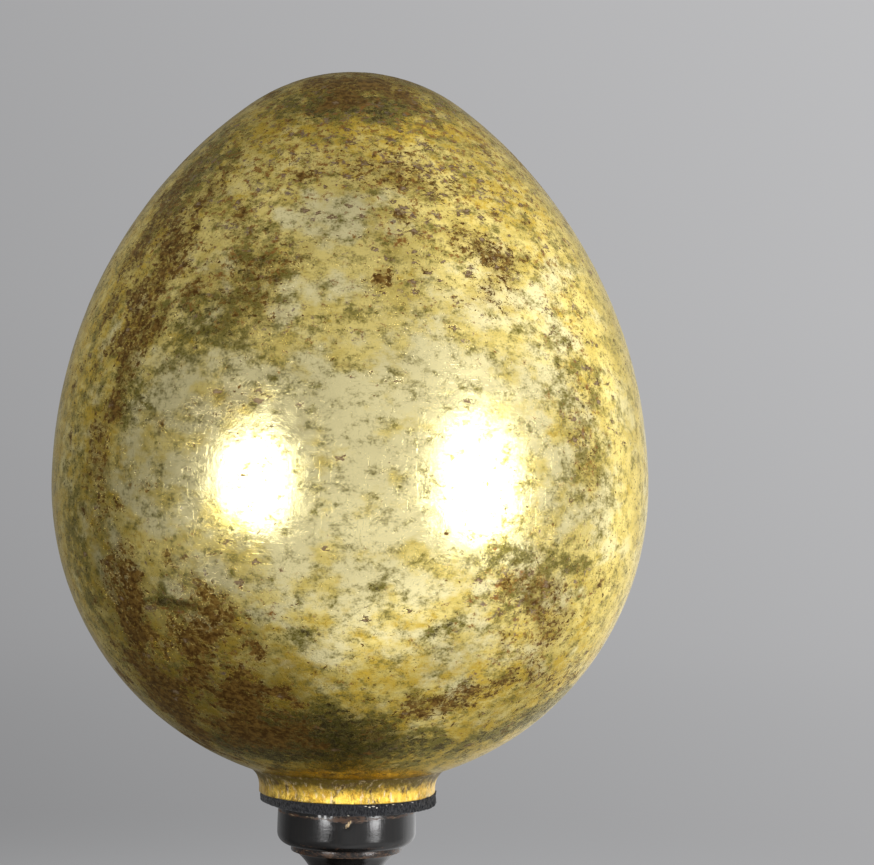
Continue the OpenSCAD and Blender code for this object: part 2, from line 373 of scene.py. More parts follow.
def half_egg(name, upwards, lining):
    """One turned half: a sphere cut at the waist and worked to the egg's outline, then hollowed."""
    deselect()
    bpy.ops.mesh.primitive_uv_sphere_add(segments=144, ring_count=72, radius=EGG_R)
    half = bpy.context.object
    half.name = half.data.name = name
    finer = half.modifiers.new("finer", "SUBSURF")
    finer.levels = finer.render_levels = 2
    apply_modifiers(half)

    # Only this half is kept, and the lower one opens at the neck
    side = 1 if upwards else -1
    pick(half, lambda p: p[:, 2] * side < -1e-5)
    bpy.ops.mesh.delete(type="VERT")
    if not upwards:
        pole_cap = math.radians(87.7)
        pick(half, lambda p: p[:, 2] < -EGG_R * math.sin(pole_cap))
        bpy.ops.mesh.delete(type="VERT")
    take_up(half)

    places = points(half)
    rise = np.arctan2(places[:, 2], np.hypot(places[:, 0], places[:, 1]))
    share = rise / np.abs(rise).max()
    share[np.abs(share) < 1e-3] = 0
    share[share < -0.998] = -1
    outline = np.array([egg_point(s) for s in share])
    outline[outline[:, 0] < 1e-6, 0] = 0
    around = np.arctan2(places[:, 1], places[:, 0])
    places[:, 0] = outline[:, 0] * np.cos(around)
    places[:, 1] = outline[:, 0] * np.sin(around)
    places[:, 2] = outline[:, 1] + WAIST
    put_points(half, places)

    # The hollow is drawn in from the rim at the waist
    pick(half, lambda p: np.abs(p[:, 2] - WAIST) < 1e-6)
    draw_out([(EGG_R, WAIST)] + lining)
    if upwards:
        bpy.ops.mesh.merge(type="CENTER")
    else:
        pick(half, lambda p: is_ring(p, *lining[-1]) | is_ring(p, NECK_TOP_R, EGG_FOOT))
        bpy.ops.mesh.bridge_edge_loops()
    face_out(half)

    places = points(half)
    radius = np.hypot(places[:, 0], places[:, 1])
    reach = np.hypot(radius, places[:, 2] - WAIST)
    outward = np.column_stack([places[:, 0], places[:, 1], places[:, 2] - WAIST]) / reach[:, None]
    stand_off = np.where(on_surface(places), relief(places), 0)
    # The joint at the neck stays true
    fade = 6 * MM
    stand_off *= np.clip((places[:, 2] - EGG_FOOT) / fade, 0, 1)
    worked = places + outward * stand_off[:, None]
    worked[:, 0] += LEAN * (places[:, 2] - EGG_FOOT)
    for zone, spots in ZONES.items():
        paint(half, zone, patches(places, *spots))
    put_points(half, worked)
    outer = on_surface(places)
    for face in half.data.polygons:
        face.material_index = 0 if outer[list(face.vertices)].any() else 1
    take_up(half)
    bpy.ops.object.shade_smooth_by_angle(angle=math.radians(40))
    return half


def is_ring(places, radius, height):
    """Which places lie on the ring of that radius and height."""
    near = np.abs(np.hypot(places[:, 0], places[:, 1]) - radius) < 1e-5
    return near & (np.abs(places[:, 2] - height) < 1e-5)


def on_surface(places):
    """Which places lie on the egg's outer surface, rather than in its hollow."""
    radius = np.hypot(places[:, 0], places[:, 1])
    height = places[:, 2] - WAIST
    lower = np.sqrt(np.clip(EGG_R**2 - height**2, 0, None))
    side = EGG_R - SIDE_R + np.sqrt(np.clip(SIDE_R**2 - height**2, 0, None))
    tip = np.sqrt(np.clip(TIP_R**2 - (height - TIP_CENTRE) ** 2, 0, None))
    meet = TIP_CENTRE + TIP_R * math.sin(MEET_ANGLE)
    outer = np.where(height < 0, lower, np.where(height < meet, side, tip))
    return radius > outer - 0.2 * MM


def crown_lining():
    """The hollow of the upper half: the outline set in by the wall, from the waist to the top."""
    inner_side = SIDE_R - SHELL_WALL
    inner_tip = TIP_R - SHELL_WALL
    meet = math.degrees(MEET_ANGLE)
    return [
        (r, z + WAIST)
        for r, z in arc((EGG_R - SIDE_R, 0), inner_side, 0, meet, 6)
        + arc((0, TIP_CENTRE), inner_tip, meet, 89, 6)[1:]
    ]


def bowl_lining():
    """The hollow of the lower half: a bowl, then the seat and the hole for the socket block."""
    inner = EGG_R - SHELL_WALL
    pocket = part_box("socket_block")[1].x + 0.4 * MM
    drop = -math.degrees(math.acos(pocket / inner))
    bowl = [(r, z + WAIST) for r, z in arc((0, 0), inner, 0, drop, 8)]
    return bowl + [(pocket, SEAT), (BLOCK_HOLE_R, SEAT), (BLOCK_HOLE_R, EGG_FOOT)]


# --------------------------------------------
# The neck, the felt and the stand
# --------------------------------------------


def push_out(places, amount):
    """Moves places away from the vertical axis."""
    radius = np.hypot(places[:, 0], places[:, 1])
    moved = places.copy()
    moved[:, :2] *= ((radius + amount) / radius)[:, None]
    return moved


def ridge(piece):
    """How convex a piece is at each vertex: about 0 on a flat and 0.3 on an eased arris."""
    mesh = piece.data
    spots = points(piece)
    normals = np.empty(len(spots) * 3)
    mesh.vertices.foreach_get("normal", normals)
    normals = normals.reshape(-1, 3)
    ends = np.empty(len(mesh.edges) * 2, dtype=int)
    mesh.edges.foreach_get("vertices", ends)
    first, second = ends.reshape(-1, 2).T
    way = spots[second] - spots[first]
    way /= np.maximum(np.linalg.norm(way, axis=1), 1e-9)[:, None]
    drop = np.zeros(len(spots))
    count = np.zeros(len(spots))
    np.add.at(drop, first, -(normals[first] * way).sum(1))
    np.add.at(drop, second, (normals[second] * way).sum(1))
    np.add.at(count, first, 1)
    np.add.at(count, second, 1)
    return drop / np.maximum(count, 1)


def eased(node, name, arris):
    """A CAD node's shape with its sharp edges eased, as sandpaper leaves them."""
    piece = bpy.data.objects.new(name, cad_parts[node].data.copy())
    piece.data.name = name
    bpy.context.scene.collection.objects.link(piece)
    take_up(piece, "EDIT")
    bpy.ops.mesh.select_all(action="SELECT")
    bpy.ops.mesh.remove_doubles(threshold=1e-6)
    bpy.ops.mesh.dissolve_limited(angle_limit=math.radians(0.5))
    bpy.ops.object.mode_set(mode="OBJECT")
    edges = piece.modifiers.new("arrises", "BEVEL")
    edges.width = arris
    edges.segments = 2
    edges.limit_method = "ANGLE"
    edges.angle_limit = math.radians(35)
    apply_modifiers(piece)
    bpy.ops.object.shade_smooth_by_angle(angle=math.radians(50))
    # Arrises are marked by how convex they are: brown wear, and at the sharpest a pale line, partly a
    # painted highlight
    paint(piece, "worn", np.clip(ridge(piece) * 7.5, 0, 1.12))
    return piece


def gilded_neck():
    """The coved collar, its leaf wrinkled up and down where it was laid over the curve."""
    cove_h, spread = 8.7 * MM, NECK_TOP_R - NECK_R
    cove_r = (cove_h**2 + spread**2) / (2 * spread)
    cove_top = 180 - math.degrees(math.asin(cove_h / cove_r))
    foot = 0.5 * MM
    outline = [(BLOCK_HOLE_R, NECK_FOOT), (NECK_R - 4 * MM, NECK_FOOT)]
    outline += arc((NECK_R - foot, NECK_FOOT + foot), foot, -90, 0, 4)
    outline += [(NECK_R, NECK_FOOT + k * 0.5 * MM) for k in range(2, 5)]
    outline += arc((NECK_R + cove_r, EGG_FOOT - cove_h), cove_r, 180, cove_top, 14)
    outline += [(BLOCK_HOLE_R, EGG_FOOT)]
    neck = turn("gilded_neck", outline, 320, 40)
    places = points(neck)
    outside = np.hypot(places[:, 0], places[:, 1]) > NECK_R - 1 * MM
    # The collar's top edge stays true, where it meets the egg
    free = np.clip((EGG_FOOT - 0.4 * MM - places[:, 2]) / (2 * MM), 0, 1) * outside
    wrinkles = cloud(places * np.array([1, 1, 0.25]), 4 * MM, 4, 21)
    lumps = cloud(places, 12 * MM, 3, 22)
    put_points(neck, push_out(places, (0.10 * wrinkles + 0.14 * lumps - 0.12) * MM * free))
    return neck


def felt_ring():
    """A washer cut from pressed felt by hand: its edge is ragged, and thin where it is nipped."""
    bore = 9.5 * MM
    thick = NECK_FOOT - FELT_FOOT
    outline = [(bore, FELT_FOOT), (CAP_R, FELT_FOOT)]
    outline += [(FELT_R - 3 * MM, FELT_FOOT), (FELT_R - 1.2 * MM, FELT_FOOT)]
    outline += arc((FELT_R - 0.5 * MM, FELT_FOOT + 0.5 * MM), 0.5 * MM, -90, 0, 3)
    outline += [(FELT_R, FELT_FOOT + thick * k / 8) for k in range(2, 7)]
    outline += arc((FELT_R - 0.4 * MM, NECK_FOOT - 0.4 * MM), 0.4 * MM, 0, 90, 3)
    outline += [(FELT_R - 2 * MM, NECK_FOOT), (bore, NECK_FOOT)]
    felt = turn("felt_ring", outline, 640, 60)
    places = points(felt)
    radius = np.hypot(places[:, 0], places[:, 1])
    around = bearings(places)
    held_r = CAP_R + 1.5 * MM
    rim = np.clip((radius - held_r) / (FELT_R - held_r), 0, 1)
    low = np.clip((NECK_FOOT - places[:, 2]) / thick, 0, 1)
    # The knife left the right-hand side most ragged, and the left-hand side is pressed thin
    ragged_at, pressed_at = 78, -82
    right = np.clip(1.4 - np.abs(turned_from(around, ragged_at)) / 28, 0, 1)
    left = np.clip(1.3 - np.abs(turned_from(around, pressed_at)) / 55, 0, 1)
    tufts = cloud(places * np.array([1, 1, 0.35]), 0.9 * MM, 3, 31)
    waver = cloud(places, 9 * MM, 2, 32)
    frayed = 0.2 * tufts + 0.35 * waver - 0.2 + right * (0.8 * tufts + 0.9)
    moved = push_out(places, frayed * MM * rim)
    curl = 1.5 * left * rim * low + 0.35 * rim * low * np.abs(tufts) * (1 + 1.5 * right)
    tip = 0.9 * right * rim**3 * np.clip(1 - low * 2, 0, 1)
    moved[:, 2] += (curl + tip) * MM
    put_points(felt, moved)
    return felt


# Each dab of glue: bearing, height above the felt's foot, radius and flatness
GLUE = [
    (12, 4.4, 0.34, 0.6),
    (14.5, 4.0, 0.30, 1.0),
    (17, 4.3, 0.42, 0.6),
    (19.5, 3.6, 0.24, 1.3),
    (26, 4.5, 0.26, 0.5),
    (31, 4.6, 0.30, 0.5),
    (38, 4.2, 0.20, 0.8),
    (47, 4.6, 0.34, 0.5),
    (54, 3.4, 0.24, 0.9),
    (1, 0.5, 0.24, 0.8),
]


def glue_specks():
    """Dabs of dried glue squeezed out over the felt's edge, front right."""
    dabs = []
    for bearing, up, size, flat in GLUE:
        deselect()
        angle = math.radians(bearing)
        reach = FELT_R - 0.05 * MM
        at = (reach * math.sin(angle), -reach * math.cos(angle), FELT_FOOT + up * MM)
        bpy.ops.mesh.primitive_ico_sphere_add(subdivisions=3, radius=size * MM, location=at)
        dab = bpy.context.object
        bpy.ops.object.mode_set(mode="EDIT")
        bpy.ops.transform.resize(value=(1.7, 1.0, flat), center_override=at)
        bpy.ops.object.mode_set(mode="OBJECT")
        bpy.ops.object.transform_apply()
        dabs.append(dab)
    deselect()
    for dab in dabs:
        dab.select_set(True)
    bpy.context.view_layer.objects.active = dabs[0]
    bpy.ops.object.join()
    specks = bpy.context.object
    specks.name = specks.data.name = "glue_specks"
    places = points(specks)
    put_points(specks, push_out(places, 0.22 * MM * cloud(places, 0.5 * MM, 2, 41)))
    bpy.ops.object.shade_smooth()
    return specks


def ebonised_cap():
    """The turned cap: barrel-sided, worn at both arrises, and chipped at the top one in front."""
    washer_r, tenon_r, bore = 11 * MM, 13.6 * MM, 5.5 * MM
    depth = 7 * MM
    arris, foot = 1.0 * MM, 5.0 * MM
    side_step, top_step = 0.7 * MM, 1.2 * MM
    tenon_top = CAP_FOOT + (STAND_TOP - CAP_FOOT - depth) / 2
    outline = [(bore, tenon_top), (tenon_r, tenon_top), (tenon_r, CAP_FOOT), (CAP_R - foot, CAP_FOOT)]
    outline += arc((CAP_R - foot, CAP_FOOT + foot), foot, -90, 0, 14)[1:]
    outline += [(CAP_R, CAP_FOOT + foot + k * side_step) for k in range(1, 15)]
    outline += arc((CAP_R - arris, STAND_TOP - arris), arris, 0, 90, 5)
    outline += [(CAP_R - k * top_step, STAND_TOP) for k in range(2, 6)]
    outline += [(washer_r, STAND_TOP), (washer_r, STAND_TOP - depth), (bore, STAND_TOP - depth)]
    cap = turn("ebonised_cap", outline, 320, 40)
    places = points(cap)
    radius = np.hypot(places[:, 0], places[:, 1])
    outside = radius > CAP_R - 2 * MM
    # Millimetres down from the cap's top, and across from the chip
    down = (STAND_TOP - places[:, 2]) / MM
    chip_bearing, chip_down = 1.5, 4.4
    across = np.radians(bearings(places) - chip_bearing) * CAP_R / MM
    barrel = -0.45 * np.clip(1 - down / 9, 0, 1) ** 2
    wander = cloud(places, 16 * MM, 2, 51)
    nicks = -0.25 * (cloud(places, 1.6 * MM, 2, 52) > 0.45) * np.clip(1.3 - down / 1.6, 0, 1)
    lower = down - chip_down
    chip = np.clip(1.2 - np.hypot((across + 0.6 * lower) / 1.7, lower / 2.4), 0, 1)
    chip = np.clip(chip + 0.5 * cloud(places, 1.2 * MM, 3, 53) * (chip > 0), 0, 1)
    lip = np.clip(1.25 - np.hypot(across / 8, (down - 2) / 3.2), 0, 1)
    inward = barrel + 0.05 * wander + nicks - 0.7 * chip - 0.2 * lip
    top_band_at, foot_band_at = 2.3, 15.0
    top_band = np.clip(1.35 - np.abs(down - top_band_at) / 1.5, 0, 1)
    foot_band = np.clip(1.1 - np.abs(down - foot_band_at) / 1.8, 0, 1)
    worn = top_band + 0.75 * foot_band
    paint(cap, "worn", np.clip(worn + lip, 0, 1) * outside)
    paint(cap, "chipped", chip * outside)
    put_points(cap, push_out(places, inward * MM * outside))
    return cap


def baize_sheet():
    """The disc of green baize under the base, its cut edge a little uneven."""
    low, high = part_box("baize_disc")
    outline = [(1 * MM, low.z), (high.x * 0.5, low.z), (high.x - 1 * MM, low.z)]
    outline += [(high.x - 0.2 * MM, low.z + 0.1 * MM), (high.x, low.z + 0.5 * MM)]
    outline += [(high.x, high.z - 0.5 * MM), (high.x - 0.4 * MM, high.z)]
    outline += [(high.x * 0.5, high.z), (1 * MM, high.z)]
    baize = turn("green_baize", outline, 360, 50)
    places = points(baize)
    rim = np.hypot(places[:, 0], places[:, 1]) > high.x - 2 * MM
    uneven = 0.15 * cloud(places, 1.5 * MM, 3, 61) - 0.15
    put_points(baize, push_out(places, uneven * MM * rim))
    return baize


# --------------------------------------------
# Materials
# --------------------------------------------


def linear(code):
    """A hex sRGB colour as the linear values that shaders take."""
    parts = [int(code[i : i + 2], 16) / 255 for i in (1, 3, 5)]
    return [p / 12.92 if p <= 0.04045 else ((p + 0.055) / 1.055) ** 2.4 for p in parts] + [1]


def feed(tree, node, sockets):
    """Sets a node's sockets, or links them to other nodes' outputs."""
    for key, value in dict(sockets).items():
        if isinstance(value, bpy.types.NodeSocket):
            tree.links.new(value, node.inputs[key])
        else:
            node.inputs[key].default_value = value


def add(tree, kind, sockets=(), **settings):
    """Adds a node, with its settings, and sets or links its sockets."""
    node = tree.nodes.new("ShaderNode" + kind)
    for name, value in settings.items():
        setattr(node, name, value)
    feed(tree, node, sockets)
    return node


# The sockets of a colour Mix node: factor, first colour, second colour, and the result
FACTOR, FIRST, SECOND, RESULT = 0, 6, 7, 2


def start(name):
    """A new material: its tree, its shader and the piece's own coordinates."""
    material = bpy.data.materials.new(name)
    material.use_nodes = True
    tree = material.node_tree
    tree.nodes.clear()
    shader = add(tree, "BsdfPrincipled")
    add(tree, "OutputMaterial", {"Surface": shader.outputs[0]})
    place = add(tree, "TexCoord").outputs["Object"]
    return material, tree, shader, place


def speckle(tree, place, grain, low, high, stretch=(1, 1, 1), detail=4.0, rough=0.6, zone=None, pull=0.0):
    """A mask of specks one grain across, in metres: 0 where the noise is below low, 1 above high.

    A painted zone pulls the noise up, so that the specks there crowd and join.
    """
    sized = add(tree, "Mapping", {"Vector": place, "Scale": [s / grain for s in stretch]})
    clouds = add(
        tree,
        "TexNoise",
        {"Vector": sized.outputs[0], "Scale": 1.0, "Detail": detail, "Roughness": rough},
    ).outputs[0]
    if zone is not None:
        clouds = add(tree, "Math", {0: zone, 1: pull, 2: clouds}, operation="MULTIPLY_ADD").outputs[0]
    ends = {"Value": clouds, "From Min": low, "From Max": high}
    return add(tree, "MapRange", ends, interpolation_type="SMOOTHSTEP").outputs[0]


def water_gilding():
    """Gold leaf over yellow and red-brown bole on gesso, burnished with agate and rubbed by hands.

    Bright, soft-edged reflections, broken by hairlines; matt brown and ochre where the leaf has gone.
    """
    material, tree, shader, place = start("water_gilding")
    shader.inputs["Specular IOR Level"].default_value = 0.25
    shader.inputs["Specular Tint"].default_value = linear("#F6EFD2")
    rubbed, grimy, pitted, yellow, polish_and_sheen, freckled = [
        add(tree, "Attribute", attribute_name=name).outputs["Fac"]
        for name in ("rubbed", "grimy", "pitted", "yellow", "polish_and_sheen", "freckled")
    ]

    # Leaf: greener where two leaves lap, warm where yellow bole shows through, pale in a painted sheen
    # round the belly
    lap = speckle(tree, place, 16 * MM, 0.42, 0.62, (1, 1, 1.4), 6, 0.62)
    warmth = speckle(tree, place, 7 * MM, 0.56, 0.76, (1, 1, 1.6), 8, 0.7, yellow, 0.26)
    # Painted sheen: pale leaf pulled in over the worn-smooth belly, round the highlights
    pale_leaf_and_sheen = speckle(tree, place, 22 * MM, 0.55, 0.75, (1, 1, 1.5), 7, 0.68, polish_and_sheen, 0.27)

    # Thin leaf has gone olive in blotches that break up into crinkles, with silt in the deepest
    soil = add(tree, "Math", {0: polish_and_sheen, 1: -0.12, 2: grimy}, operation="MULTIPLY_ADD").outputs[0]
    olive = speckle(tree, place, 8 * MM, 0.46, 0.63, (1, 1, 1.3), 10, 0.82, soil, 0.16)
    silt = speckle(tree, place, 3.6 * MM, 0.58, 0.68, (1, 1, 1.5), 8, 0.80, soil, 0.17)

    # Hairline cracks run up and down in the gesso, and brush lines run round
    upright = speckle(tree, place, 1.3 * MM, 0.58, 0.70, (1, 1, 0.10), 5, 0.68)
    level = speckle(tree, place, 1.3 * MM, 0.60, 0.72, (0.12, 0.12, 1.2), 5, 0.68)
    cracks = add(tree, "Math", {0: upright, 1: level}, operation="MAXIMUM").outputs[0]
    faint = add(tree, "MapRange", {"Value": cracks, "To Max": 0.40}).outputs[0]

    # A net of pale lines follows the creases, where a noise crosses its middle: painted glints on their
    # edges
    crease = 5 * MM
    folds = add(tree, "Mapping", {"Vector": place, "Scale": (1 / crease, 1 / crease, 1.3 / crease)})
    curl = add(tree, "TexNoise", {"Vector": folds.outputs[0], "Detail": 5.0, "Roughness": 0.6})
    off_line = add(tree, "Math", {0: curl.outputs[0], 1: 0.5}, operation="SUBTRACT").outputs[0]
    off_line = add(tree, "Math", {0: off_line}, operation="ABSOLUTE").outputs[0]
    ends = {"Value": off_line, "From Min": 0.014, "From Max": 0.004, "To Max": 0.4}
    painted_crease_glints = add(tree, "MapRange", ends).outputs[0]

    # Freckles of ochre and mauve, then flecks, dots and streaks where the leaf is rubbed through to
    # brown. The freckles, flecks and dots are fewer where hands have worn the leaf smoothest
    spotted = add(tree, "Math", {0: polish_and_sheen, 1: -0.7, 2: freckled}, operation="MULTIPLY_ADD").outputs[0]
    bared = add(tree, "Math", {0: polish_and_sheen, 1: -0.35, 2: rubbed}, operation="MULTIPLY_ADD").outputs[0]
    rubbing = add(tree, "MapRange", {"Value": rubbed, "From Min": 0.15, "To Max": 0.6}).outputs[0]
    freckle = speckle(tree, place, 3.6 * MM, 0.58, 0.67, (1, 1, 1.25), 8, 0.76, spotted, 0.075)
    fleck = speckle(tree, place, 4.2 * MM, 0.58, 0.65, (1, 1, 1.3), 10, 0.80, bared, 0.16)
    dot = speckle(tree, place, 2.2 * MM, 0.63, 0.69, (1, 1, 1.2), 3, 0.6, bared, 0.17)
    streak = speckle(tree, place, 2.6 * MM, 0.65, 0.73, (0.25, 0.25, 1.6), 6, 0.74, rubbed, 0.14)
    wear = add(tree, "Math", {0: fleck, 1: streak}, operation="MAXIMUM").outputs[0]
    wear = add(tree, "Math", {0: wear, 1: dot}, operation="MAXIMUM").outputs[0]

    # Blisters: a dark broken rim round a pale, pinkish-grey floor of gesso
    cell = 5.5 * MM
    cells = add(tree, "Mapping", {"Vector": place, "Scale": (1 / cell, 1 / cell, 1.8 / cell)}).outputs[0]
    wobble = add(tree, "TexNoise", {"Vector": cells, "Scale": 2.4, "Detail": 5.0, "Roughness": 0.7})
    bent = {0: wobble.outputs["Color"], 1: (1.8, 1.8, 1.8), 2: cells}
    shifted = add(tree, "VectorMath", bent, operation="MULTIPLY_ADD")
    voronoi = add(tree, "TexVoronoi", {"Vector": shifted.outputs[0], "Scale": 1.0})
    chance = add(tree, "SeparateColor", {0: voronoi.outputs["Color"]}).outputs[0]
    odds = add(tree, "Math", {0: pitted, 1: 0.34, 2: 0.018}, operation="MULTIPLY_ADD").outputs[0]
    chosen = add(tree, "Math", {0: chance, 1: odds}, operation="LESS_THAN").outputs[0]
    distance = voronoi.outputs["Distance"]
    near = add(tree, "MapRange", {"Value": distance, "From Min": 0.42, "From Max": 0.30}).outputs[0]
    floor = add(tree, "MapRange", {"Value": distance, "From Min": 0.28, "From Max": 0.16}).outputs[0]
    blister = add(tree, "Math", {0: near, 1: chosen}, operation="MULTIPLY").outputs[0]

    # What shows through is of two colours each: ochre or mauve, dark or light bole, and rim or floor
    tint = speckle(tree, place, 7 * MM, 0.48, 0.58, (1, 1, 1.2), 5, 0.65)
    clay = speckle(tree, place, 3 * MM, 0.44, 0.58, (1, 1, 1.4), 8, 0.80)
    ochre, bole, pit = [
        add(
            tree, "Mix", {FACTOR: mask, FIRST: linear(first), SECOND: linear(second)}, data_type="RGBA"
        ).outputs[RESULT]
        for mask, first, second in (
            (tint, "#8E6430", "#84705E"),
            (clay, "#4C3210", "#7E602C"),
            (floor, "#5C4424", "#968064"),
        )
    ]

    # From the pale lemon leaf outwards, each layer covers what lies under it
    colour = linear("#F4DE86")
    for mask, over in (
        (lap, linear("#DAC368")),
        (warmth, linear("#D6B443")),
        (pale_leaf_and_sheen, linear("#F3E6AC")),
        (olive, linear("#766C2E")),
        (faint, linear("#8C7E3C")),
        (silt, linear("#382D10")),
        # painted glints along the leaf's creases
        (painted_crease_glints, linear("#EFE2A0")),
        (rubbing, linear("#7C6026")),
        (freckle, ochre),
        (wear, bole),
        (blister, pit),
    ):
        layer = add(tree, "Mix", {FACTOR: mask, FIRST: colour, SECOND: over}, data_type="RGBA")
        colour = layer.outputs[RESULT]

    # The leaf is metal; bole, gesso and dirt are not
    bare = add(tree, "Math", {0: wear, 1: blister}, operation="MAXIMUM").outputs[0]
    bare = add(tree, "Math", {0: freckle, 1: 0.4, 2: bare}, operation="MULTIPLY_ADD").outputs[0]
    soiled = add(tree, "Math", {0: silt, 1: 0.45, 2: bare}, operation="MULTIPLY_ADD").outputs[0]
    dull = add(tree, "Math", {0: olive, 1: 0.20, 2: soiled}, operation="MULTIPLY_ADD", use_clamp=True)
    metal = add(tree, "MapRange", {"Value": dull.outputs[0], "To Min": 1.0, "To Max": 0.75})
    worn_finish = speckle(tree, place, 7 * MM, 0.3, 0.7, (1, 1, 1.3), 5, 0.65)
    finish = add(tree, "MapRange", {"Value": worn_finish, "To Min": 0.13, "To Max": 0.26}).outputs[0]
    rough = add(tree, "Math", {0: dull.outputs[0], 1: 0.26, 2: finish}, operation="MULTIPLY_ADD")

    # Relief: cracks and brush lines, the crumple of thin leaf, then flake edges and blisters
    crumple = speckle(tree, place, 3.2 * MM, 0, 1, (1, 1, 1.2), 6, 0.72)
    hair = {"Strength": 1.0, "Distance": 0.02 * MM, "Height": cracks}
    bump = add(tree, "Bump", hair, invert=True).outputs[0]
    creased = {"Strength": 1.0, "Distance": 0.06 * MM, "Height": crumple, "Normal": bump}
    bump = add(tree, "Bump", creased).outputs[0]
    flaked = {"Strength": 1.0, "Distance": 0.05 * MM, "Height": dull.outputs[0], "Normal": bump}
    bump = add(tree, "Bump", flaked, invert=True).outputs[0]
    feed(tree, shader, {"Base Color": colour, "Metallic": metal.outputs[0]})
    feed(tree, shader, {"Roughness": rough.outputs[0], "Normal": bump})
    return material


def oil_gilding():
    """Gold leaf laid in oil size over yellow bole: brighter and yellower than burnished leaf, and duller.

    Worn streaks run down it, creases glint, and dust, old glue and painted shade darken the cove under
    the egg.
    """
    material, tree, shader, place = start("oil_gilding")
    height = add(tree, "SeparateXYZ", {0: place}).outputs["Z"]
    ends = {"Value": height, "From Min": NECK_FOOT + 3.5 * MM, "From Max": EGG_FOOT}
    cove = add(tree, "MapRange", ends).outputs[0]
    lay = speckle(tree, place, 5 * MM, 0.42, 0.60, (1, 1, 0.5), 8, 0.76)
    # Darker olive-brown towards the egg's foot: dust and old glue, and painted shade in the cove under
    # the egg
    cove_dirt_and_shade = speckle(tree, place, 7 * MM, 0.48, 0.74, (1, 1, 0.9), 9, 0.78, cove, 0.38)
    flake = speckle(tree, place, 2.4 * MM, 0.54, 0.62, (1, 1, 0.4), 8, 0.78)
    streak = speckle(tree, place, 3 * MM, 0.53, 0.62, (1, 1, 0.45), 9, 0.82, cove, 0.05)
    colour = linear("#F2CC5A")
    for mask, over in ((lay, "#CCA038"), (cove_dirt_and_shade, "#665618"), (flake, "#E4CFA6"), (streak, "#4A3612")):
        layer = add(tree, "Mix", {FACTOR: mask, FIRST: colour, SECOND: linear(over)}, data_type="RGBA")
        colour = layer.outputs[RESULT]
    dull = add(tree, "Math", {0: cove_dirt_and_shade, 1: 0.5, 2: streak}, operation="MULTIPLY_ADD", use_clamp=True)
    metal = add(tree, "MapRange", {"Value": dull.outputs[0], "To Min": 0.95, "To Max": 0.3})
    rough = add(tree, "MapRange", {"Value": dull.outputs[0], "To Min": 0.3, "To Max": 0.5})
    creases = speckle(tree, place, 2.4 * MM, 0.3, 0.7, (1, 1, 0.35), 6, 0.75)
    folded = add(tree, "Bump", {"Strength": 1.0, "Distance": 0.22 * MM, "Height": creases})
    feed(tree, shader, {"Base Color": colour, "Metallic": metal.outputs[0]})
    feed(tree, shader, {"Roughness": rough.outputs[0], "Normal": folded.outputs[0]})
    return material


def pressed_felt():
    """Black felt pressed from wool: quite matt, with short grey fibres standing across its cut edge."""
    material, tree, shader, place = start("pressed_felt")
    fibres = speckle(tree, place, 0.6 * MM, 0.42, 0.70, (1, 1, 0.4), 4, 0.7)
    clumps = speckle(tree, place, 2.5 * MM, 0.40, 0.62, (1, 1, 1), 5, 0.7)
    colour = linear("#131418")
    for mask, over in ((clumps, "#1F2024"), (fibres, "#3B3C40")):
        layer = add(tree, "Mix", {FACTOR: mask, FIRST: colour, SECOND: linear(over)}, data_type="RGBA")
        colour = layer.outputs[RESULT]
    shader.inputs["Roughness"].default_value = 0.95
    shader.inputs["Specular IOR Level"].default_value = 0.15
    shader.inputs["Sheen Weight"].default_value = 0.15
    shader.inputs["Sheen Roughness"].default_value = 0.5
    nap = add(tree, "Bump", {"Strength": 1.0, "Distance": 0.25 * MM, "Height": fibres})
    feed(tree, shader, {"Base Color": colour, "Normal": nap.outputs[0]})
    return material


def ebonised_wood():
    """Beech stained black and given a shellac and wax polish: glossy, rubbed brown at its arrises, and at
    the most worn, pale with bare wood and a painted highlight.
    """
    material, tree, shader, place = start("ebonised_wood")
    shader.inputs["IOR"].default_value = 1.48
    worn, chipped = [
        add(tree, "Attribute", attribute_name=name).outputs["Fac"] for name in ("worn", "chipped")
    ]
    # Beech has pores about 1 mm apart that run with the grain, up the turning
    grain = speckle(tree, place, 1.0 * MM, 0.42, 0.64, (1, 1, 0.06), 3, 0.6)
    rub = speckle(tree, place, 2.4 * MM, 0.80, 1.00, (0.6, 0.6, 1.4), 9, 0.80, worn, 0.42)
    # A pale line along the most worn arrises: partly bare wood, partly a painted highlight
    bright = speckle(tree, place, 1.6 * MM, 0.98, 1.08, (0.4, 0.4, 1.5), 5, 0.7, worn, 0.42)
    torn = speckle(tree, place, 1.0 * MM, 0.84, 0.98, (1, 1, 0.4), 5, 0.75, chipped, 0.6)
    colour = linear("#070606")
    for mask, over in ((grain, "#0E0B09"), (rub, "#4A2F18"), (bright, "#9A866A"), (torn, "#C9AE84")):
        layer = add(tree, "Mix", {FACTOR: mask, FIRST: colour, SECOND: linear(over)}, data_type="RGBA")
        colour = layer.outputs[RESULT]
    bare = add(tree, "Math", {0: rub, 1: torn}, operation="MAXIMUM").outputs[0]
    hands = speckle(tree, place, 14 * MM, 0.35, 0.70, (1, 1, 1), 5, 0.65)
    polish = add(tree, "MapRange", {"Value": hands, "To Min": 0.13, "To Max": 0.24}).outputs[0]
    rough = add(tree, "Math", {0: bare, 1: 0.35, 2: polish}, operation="MULTIPLY_ADD").outputs[0]
    scuffs = speckle(tree, place, 2.2 * MM, 0.35, 0.7, (0.5, 0.5, 1.4), 5, 0.7)
    pores = add(tree, "Math", {0: grain, 1: 0.5, 2: scuffs}, operation="MULTIPLY_ADD").outputs[0]
    surface = add(tree, "Bump", {"Strength": 1.0, "Distance": 0.018 * MM, "Height": pores})
    feed(tree, shader, {"Base Color": colour, "Roughness": rough, "Normal": surface.outputs[0]})
    return material


